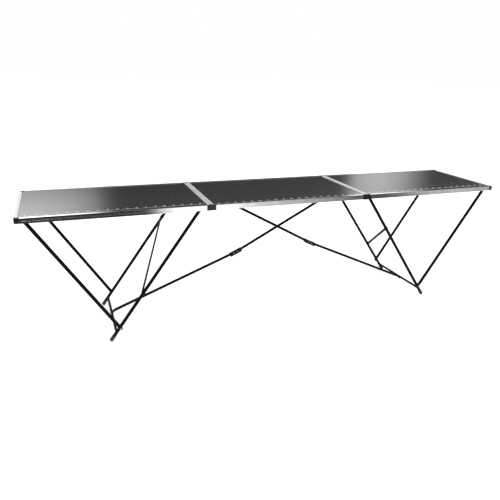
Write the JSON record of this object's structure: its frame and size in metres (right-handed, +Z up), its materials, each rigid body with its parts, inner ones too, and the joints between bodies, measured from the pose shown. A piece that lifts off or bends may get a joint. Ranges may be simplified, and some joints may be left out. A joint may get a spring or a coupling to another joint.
{
  "type": "wallpaper pasting table",
  "caption": "Long folding pasting table: three framed panels, two braced tubular leg frames and hooked knuckle braces that fold flat.",
  "frame": {"origin": "on the floor under the middle of the unfolded table", "axes": "+X along the table's length, -Y at the edge with the ruler marks, +Z up"},
  "size_m": [3, 0.6, 0.7845],
  "materials": {
    "laminate": "black laminated board, fine grain, soft gloss",
    "aluminium": "satin mill aluminium",
    "black_plastic": "moulded black plastic",
    "foot_rubber": "matt black rubber",
    "black_steel": "black powder coat, semi-gloss",
    "grey_steel": "dark grey zinc-plated steel"
  },
  "bodies": {
    "middle_panel": {"middle_board": "laminate", "middle_rail_front": "aluminium", "middle_rail_back": "aluminium", "middle_end_rail_left": "aluminium", "middle_end_rail_right": "aluminium", "middle_left_hinge_block_front": "black_plastic", "middle_left_hinge_block_back": "black_plastic", "middle_right_hinge_block_front": "black_plastic", "middle_right_hinge_block_back": "black_plastic", "back_brace_bracket": "grey_steel", "front_brace_bracket": "grey_steel"},
    "left_panel": {"left_board": "laminate", "left_rail_front": "aluminium", "left_rail_back": "aluminium", "left_end_rail_left": "aluminium", "left_end_rail_right": "aluminium", "left_corner_cap_front": "black_plastic", "left_corner_cap_back": "black_plastic", "left_hinge_block_front": "black_plastic", "left_hinge_block_back": "black_plastic", "left_leg_axle": "grey_steel"},
    "right_panel": {"right_board": "laminate", "right_rail_front": "aluminium", "right_rail_back": "aluminium", "right_end_rail_left": "aluminium", "right_end_rail_right": "aluminium", "right_corner_cap_front": "black_plastic", "right_corner_cap_back": "black_plastic", "right_hinge_block_front": "black_plastic", "right_hinge_block_back": "black_plastic", "right_leg_axle": "grey_steel"},
    "right_link": {"right_link_plate_front": "black_plastic", "right_link_plate_back": "black_plastic"},
    "left_legs": {"left_leg_front": "black_steel", "left_leg_back": "black_steel", "left_leg_crossbar": "black_steel", "left_leg_stay": "grey_steel", "left_foot_front": "foot_rubber", "left_foot_back": "foot_rubber"},
    "right_legs": {"right_leg_front": "black_steel", "right_leg_back": "black_steel", "right_leg_crossbar": "black_steel", "right_leg_stay": "grey_steel", "right_foot_front": "foot_rubber", "right_foot_back": "foot_rubber"},
    "left_struts": {"left_strut_front": "black_steel", "left_strut_back": "black_steel"},
    "right_struts": {"right_strut_front": "black_steel", "right_strut_back": "black_steel"},
    "back_brace_upper": {"back_brace_upper": "black_steel"},
    "back_brace_knuckle": {"back_brace_knuckle": "black_plastic"},
    "back_brace_lower": {"back_brace_lower": "black_steel", "back_brace_hook": "black_plastic"},
    "front_brace_upper": {"front_brace_upper": "black_steel"},
    "front_brace_knuckle": {"front_brace_knuckle": "black_plastic"},
    "front_brace_lower": {"front_brace_lower": "black_steel", "front_brace_hook": "black_plastic"}
  },
  "joints": [
    {"name": "left_panel_fold", "type": "hinge", "parent": "middle_panel", "child": "left_panel", "pos_m": [-0.5, 0, 0.781], "axis": [0, 1, 0], "range_deg": [0, 180]},
    {"name": "right_link_swing", "type": "hinge", "parent": "middle_panel", "child": "right_link", "pos_m": [0.4795, 0, 0.7765], "axis": [0, -1, 0], "range_deg": [0, 90]},
    {"name": "right_panel_fold", "type": "hinge", "parent": "right_link", "child": "right_panel", "pos_m": [0.5205, 0, 0.7765], "axis": [0, -1, 0], "range_deg": [0, 90]},
    {"name": "left_legs_fold", "type": "hinge", "parent": "left_panel", "child": "left_legs", "pos_m": [-0.54, 0, 0.762], "axis": [0, 1, 0], "range_deg": [0, 54.34]},
    {"name": "right_legs_fold", "type": "hinge", "parent": "right_panel", "child": "right_legs", "pos_m": [0.54, 0, 0.762], "axis": [0, -1, 0], "range_deg": [0, 54.34]},
    {"name": "left_struts_fold", "type": "hinge", "parent": "left_panel", "child": "left_struts", "pos_m": [-1.46, 0, 0.762], "axis": [0, -1, 0], "range_deg": [0, 57.3]},
    {"name": "right_struts_fold", "type": "hinge", "parent": "right_panel", "child": "right_struts", "pos_m": [1.46, 0, 0.762], "axis": [0, 1, 0], "range_deg": [0, 57.3]},
    {"name": "back_brace_lift", "type": "hinge", "parent": "middle_panel", "child": "back_brace_upper", "pos_m": [0.468, 0.03, 0.735], "axis": [0, 1, 0], "range_deg": [0, 27.68]},
    {"name": "back_brace_upper_rivet", "type": "hinge", "parent": "back_brace_upper", "child": "back_brace_knuckle", "pos_m": [-0.23114, 0.03, 0.36833], "axis": [0, -1, 0], "range_deg": [0, 88.01]},
    {"name": "back_brace_lower_rivet", "type": "hinge", "parent": "back_brace_knuckle", "child": "back_brace_lower", "pos_m": [-0.25486, 0.03, 0.35767], "axis": [0, -1, 0], "range_deg": [0, 88.01]},
    {"name": "front_brace_lift", "type": "hinge", "parent": "middle_panel", "child": "front_brace_upper", "pos_m": [-0.345, -0.03, 0.735], "axis": [0, -1, 0], "range_deg": [0, 28.68]},
    {"name": "front_brace_upper_rivet", "type": "hinge", "parent": "front_brace_upper", "child": "front_brace_knuckle", "pos_m": [0.25332, -0.03, 0.40772], "axis": [0, 1, 0], "range_deg": [0, 88.01]},
    {"name": "front_brace_lower_rivet", "type": "hinge", "parent": "front_brace_knuckle", "child": "front_brace_lower", "pos_m": [0.27668, -0.03, 0.39628], "axis": [0, 1, 0], "range_deg": [0, 88.01]}
  ],
  "couplings": [
    {"joint": "back_brace_upper_rivet", "follows": "back_brace_lift", "ratio": 3.1798},
    {"joint": "back_brace_lower_rivet", "follows": "back_brace_lift", "ratio": 3.1798},
    {"joint": "front_brace_upper_rivet", "follows": "front_brace_lift", "ratio": 3.0684},
    {"joint": "front_brace_lower_rivet", "follows": "front_brace_lift", "ratio": 3.0684}
  ]
}
